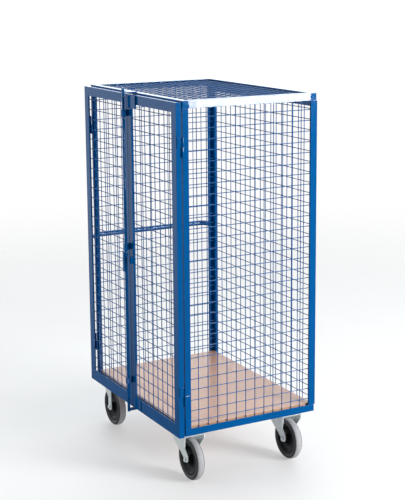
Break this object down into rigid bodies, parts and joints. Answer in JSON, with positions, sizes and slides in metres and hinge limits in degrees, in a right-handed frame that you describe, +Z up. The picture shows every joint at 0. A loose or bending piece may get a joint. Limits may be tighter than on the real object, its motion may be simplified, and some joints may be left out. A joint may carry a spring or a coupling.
{
  "type": "mesh cage trolley",
  "caption": "Rectangular steel-frame trolley with welded mesh sides and top, a wooden deck, paired mesh doors closed by a lock rod, a push handle and castors.",
  "frame": {"origin": "middle of the whole box, on the floor", "axes": "+X towards the end away from the push handle, -Y towards the doors, +Z up"},
  "size_m": [1.1124, 0.777, 1.803],
  "materials": {
    "blue_paint": "gloss",
    "deck_board": "satin",
    "zinc": "satin",
    "bearing_steel": "satin",
    "grey_rubber": "matte",
    "black_plastic": "satin"
  },
  "bodies": {
    "cage": {"base_frame": "blue_paint", "castor_rail_swivel": "blue_paint", "castor_rail_fixed": "blue_paint", "deck_bearers": "blue_paint", "deck_board": "deck_board", "deck_screws": "zinc", "castor_bolts": "zinc", "post_right_front": "blue_paint", "post_right_rear": "blue_paint", "post_left_front": "blue_paint", "post_left_rear": "blue_paint", "top_frame": "blue_paint", "top_mesh": "blue_paint", "end_mesh_right": "blue_paint", "end_mesh_left": "blue_paint", "rear_frame": "blue_paint", "rear_mesh": "blue_paint", "push_handle": "blue_paint", "hinge_brackets": "blue_paint", "hinge_pins": "zinc", "top_keeper": "blue_paint", "bottom_keeper": "blue_paint", "swivel_front_plate": "zinc", "swivel_front_race": "zinc", "swivel_front_kingpin": "zinc", "swivel_rear_plate": "zinc", "swivel_rear_race": "zinc", "swivel_rear_kingpin": "zinc", "fixed_front_bracket": "zinc", "fixed_front_axle": "zinc", "fixed_rear_bracket": "zinc", "fixed_rear_axle": "zinc"},
    "right_door": {"right_door_frame": "blue_paint", "right_door_mesh": "blue_paint", "right_door_hinges": "blue_paint", "right_door_plates": "blue_paint", "rod_guides": "blue_paint", "lever_catch": "blue_paint"},
    "left_door": {"left_door_frame": "blue_paint", "left_door_mesh": "blue_paint", "left_door_hinges": "blue_paint"},
    "lock_rod": {"lock_rod": "blue_paint", "lock_lever": "blue_paint"},
    "swivel_front_fork": {"swivel_front_fork": "zinc", "swivel_front_axle": "zinc"},
    "swivel_rear_fork": {"swivel_rear_fork": "zinc", "swivel_rear_axle": "zinc"},
    "swivel_front_wheel": {"swivel_front_tyre": "grey_rubber", "swivel_front_rim": "black_plastic", "swivel_front_bearing": "bearing_steel"},
    "swivel_rear_wheel": {"swivel_rear_tyre": "grey_rubber", "swivel_rear_rim": "black_plastic", "swivel_rear_bearing": "bearing_steel"},
    "fixed_front_wheel": {"fixed_front_tyre": "grey_rubber", "fixed_front_rim": "black_plastic", "fixed_front_bearing": "bearing_steel"},
    "fixed_rear_wheel": {"fixed_rear_tyre": "grey_rubber", "fixed_rear_rim": "black_plastic", "fixed_rear_bearing": "bearing_steel"}
  },
  "joints": [
    {"name": "right_door_hinge", "type": "hinge", "parent": "cage", "child": "right_door", "pos_m": [0.52625, -0.32, 1.004], "axis": [0, 0, 1], "range_deg": [0, 180]},
    {"name": "left_door_hinge", "type": "hinge", "parent": "cage", "child": "left_door", "pos_m": [-0.48775, -0.32, 1.004], "axis": [0, 0, -1], "range_deg": [0, 105]},
    {"name": "lock_rod_turn", "type": "hinge", "parent": "right_door", "child": "lock_rod", "pos_m": [0.02925, -0.374, 1.004], "axis": [0, 0, 1], "range_deg": [0, 90]},
    {"name": "swivel_front_swivel", "type": "hinge", "parent": "cage", "child": "swivel_front_fork", "pos_m": [0.41125, -0.2545, 0.231], "axis": [0, 0, 1], "continuous": true},
    {"name": "swivel_front_spin", "type": "hinge", "parent": "swivel_front_fork", "child": "swivel_front_wheel", "pos_m": [0.45625, -0.2545, 0.1], "axis": [0, 1, 0], "continuous": true},
    {"name": "swivel_rear_swivel", "type": "hinge", "parent": "cage", "child": "swivel_rear_fork", "pos_m": [0.41125, 0.2785, 0.231], "axis": [0, 0, 1], "continuous": true},
    {"name": "swivel_rear_spin", "type": "hinge", "parent": "swivel_rear_fork", "child": "swivel_rear_wheel", "pos_m": [0.45625, 0.2785, 0.1], "axis": [0, 1, 0], "continuous": true},
    {"name": "fixed_front_spin", "type": "hinge", "parent": "cage", "child": "fixed_front_wheel", "pos_m": [-0.38175, -0.2635, 0.1], "axis": [0, 1, 0], "continuous": true},
    {"name": "fixed_rear_spin", "type": "hinge", "parent": "cage", "child": "fixed_rear_wheel", "pos_m": [-0.38175, 0.2855, 0.1], "axis": [0, 1, 0], "continuous": true}
  ]
}
